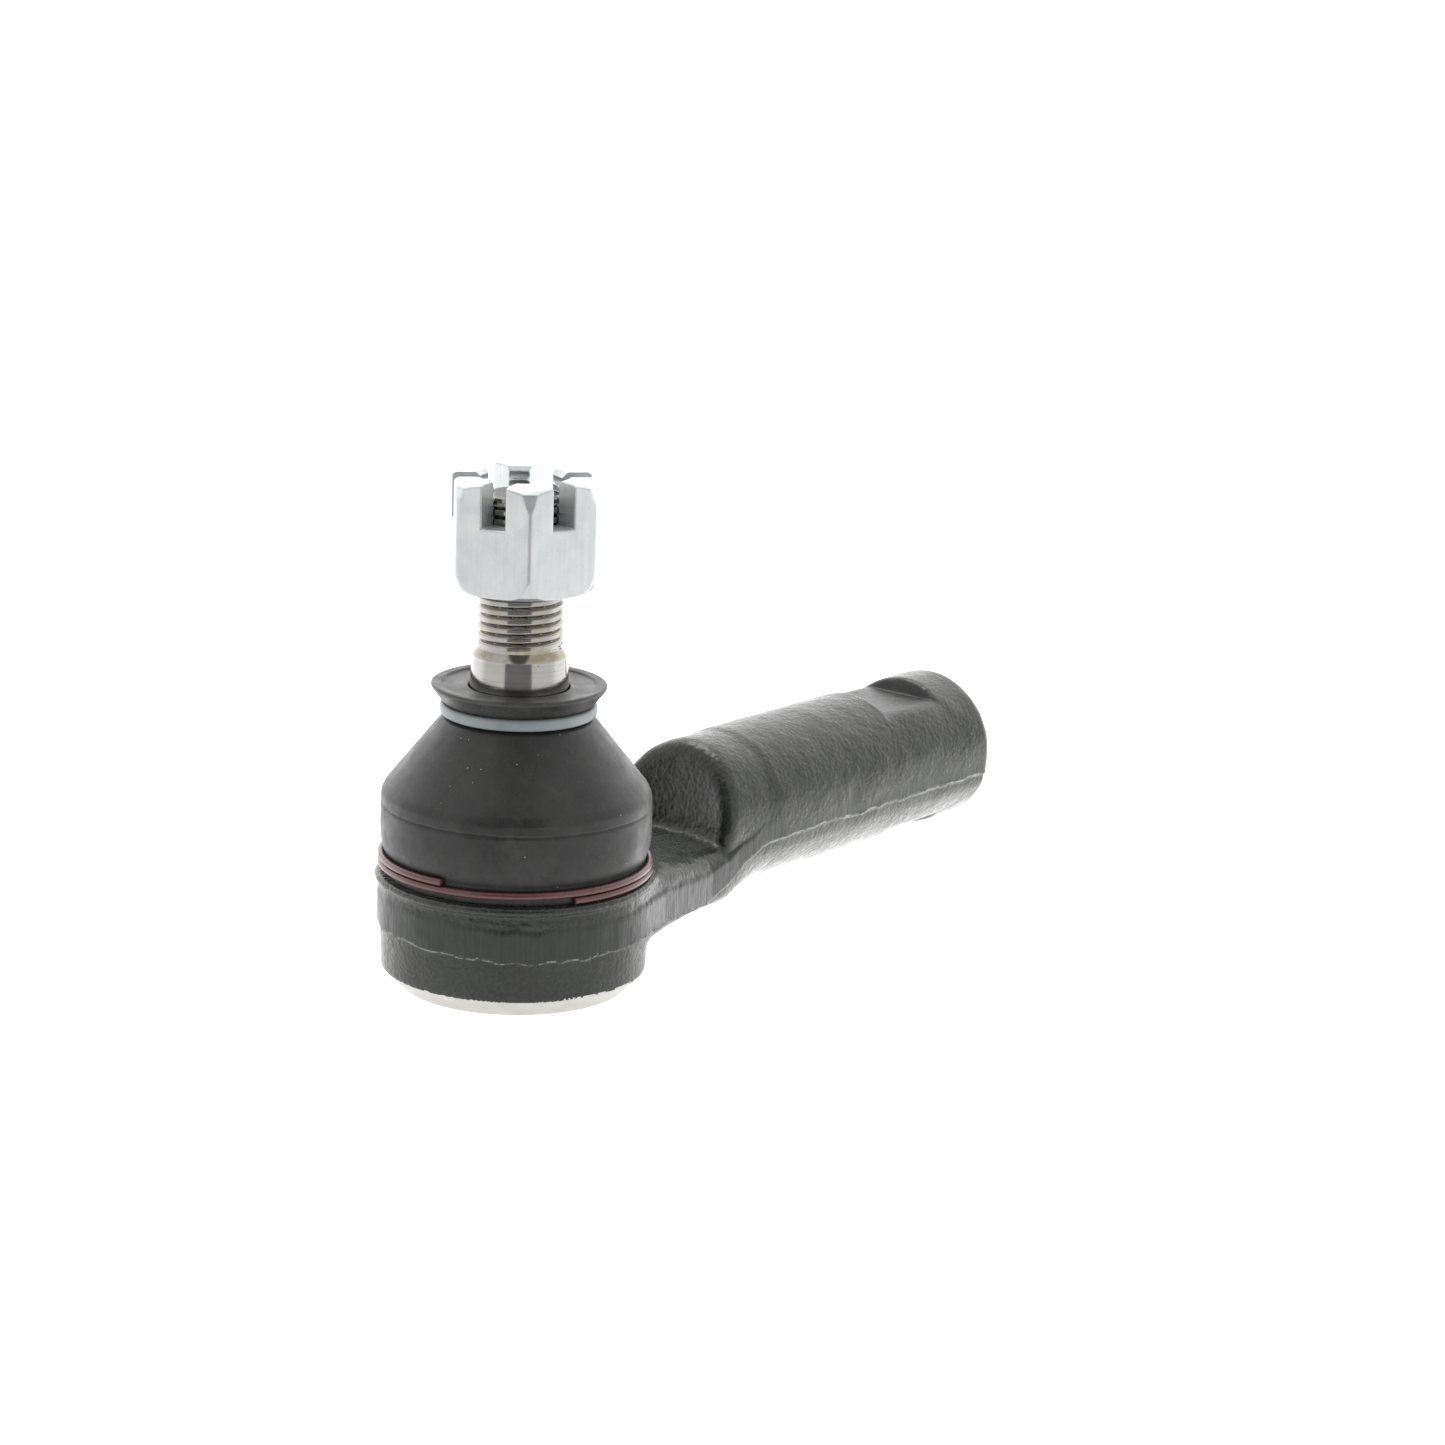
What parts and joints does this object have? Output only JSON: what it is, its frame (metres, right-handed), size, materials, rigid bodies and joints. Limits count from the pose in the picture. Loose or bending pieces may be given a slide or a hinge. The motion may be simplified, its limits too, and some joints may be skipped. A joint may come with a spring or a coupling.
{
  "type": "tie rod end",
  "caption": "Outer tie rod end: forged housing with a female threaded shank, tapered ball stud that swings and spins, rubber dust boot and castle nut.",
  "frame": {"origin": "centre of the ball, the point that the stud swings about", "axes": "+Z along the stud at rest, towards the nut; +X along the shank, towards its threaded mouth"},
  "size_m": [0.1191, 0.0388, 0.0719],
  "materials": {
    "forged_steel": "rough phosphated forging",
    "ground_steel": "satin ground",
    "zinc_plate": "bright zinc plate",
    "rubber": "matte moulded rubber",
    "ring_plastic": "satin",
    "lacquered_wire": "lacquered spring wire",
    "cap_steel": "pressed steel",
    "spring_steel": "tempered",
    "seat_plastic": "natural acetal"
  },
  "bodies": {
    "housing": {"housing": "forged_steel", "end_cap": "cap_steel", "disc_spring": "spring_steel", "lower_seat": "seat_plastic", "upper_seat": "seat_plastic", "boot_clip": "lacquered_wire"},
    "boot": {"dust_boot": "rubber"},
    "ring": {"boot_ring": "ring_plastic"},
    "stud": {"ball_stud": "ground_steel"},
    "nut": {"castle_nut": "zinc_plate"}
  },
  "joints": [
    {"name": "tilt_along_shank", "type": "hinge", "parent": "housing", "child": "boot", "pos_m": [0, 0, 0], "axis": [0, 1, 0], "range_deg": [-18, 18], "deforming": ["dust_boot"]},
    {"name": "tilt_across_shank", "type": "hinge", "parent": "boot", "child": "ring", "pos_m": [0, 0, 0], "axis": [1, 0, 0], "range_deg": [-18, 18], "deforming": ["dust_boot"]},
    {"name": "stud_spin", "type": "hinge", "parent": "ring", "child": "stud", "pos_m": [0, 0, 0], "axis": [0, 0, 1], "continuous": true},
    {"name": "nut_travel", "type": "slide", "parent": "stud", "child": "nut", "axis": [0, 0, 1], "range_m": [-0.007, 0.03]}
  ]
}
